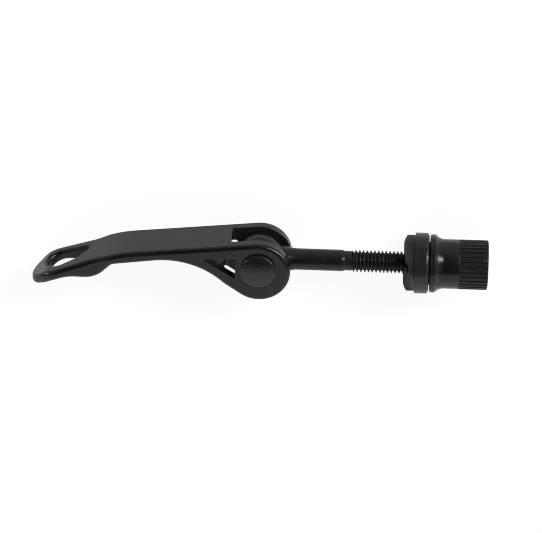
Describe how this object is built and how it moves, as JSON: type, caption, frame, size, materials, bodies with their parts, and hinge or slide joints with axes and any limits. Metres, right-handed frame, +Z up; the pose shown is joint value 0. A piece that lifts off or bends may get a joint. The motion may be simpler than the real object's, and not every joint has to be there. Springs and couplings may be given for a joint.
{
  "type": "quick release seatpost clamp bolt",
  "caption": "Black quick release seatpost binder: forked cam lever with finger loop, eye bolt, cam cradle washer and knurled thumb nut.",
  "frame": {"origin": "on the bolt's axis, at the middle of its plain shank", "axes": "+X along the bolt towards the thumb nut, +Z up along the lever's pivot, +Y towards the lever's convex side; lying on its side"},
  "size_m": [0.1209, 0.0173, 0.0163],
  "materials": {
    "lever_alloy": "satin black coating on cast alloy",
    "black_steel": "black oxide",
    "cradle_plastic": "smooth moulded",
    "nut_alloy": "black anodised, turned"
  },
  "bodies": {
    "bolt": {"eye_bolt": "black_steel"},
    "lever": {"lever": "lever_alloy", "pivot_pin": "black_steel"},
    "cradle": {"cam_cradle": "cradle_plastic"},
    "nut": {"thumb_nut": "nut_alloy"}
  },
  "joints": [
    {"name": "lever_swing", "type": "hinge", "parent": "bolt", "child": "lever", "pos_m": [-0.01595, 0, 0], "axis": [0, 0, 1], "range_deg": [-90, 90]},
    {"name": "nut_travel", "type": "slide", "parent": "bolt", "child": "cradle", "axis": [1, 0, 0], "range_m": [-0.02, 0.006]},
    {"name": "nut_spin", "type": "hinge", "parent": "cradle", "child": "nut", "pos_m": [0.0373, 0, 0], "axis": [1, 0, 0], "range_deg": [-7236, 2196]}
  ],
  "couplings": [
    {"joint": "nut_spin", "follows": "nut_travel", "rad_per_m": 6283.2}
  ]
}
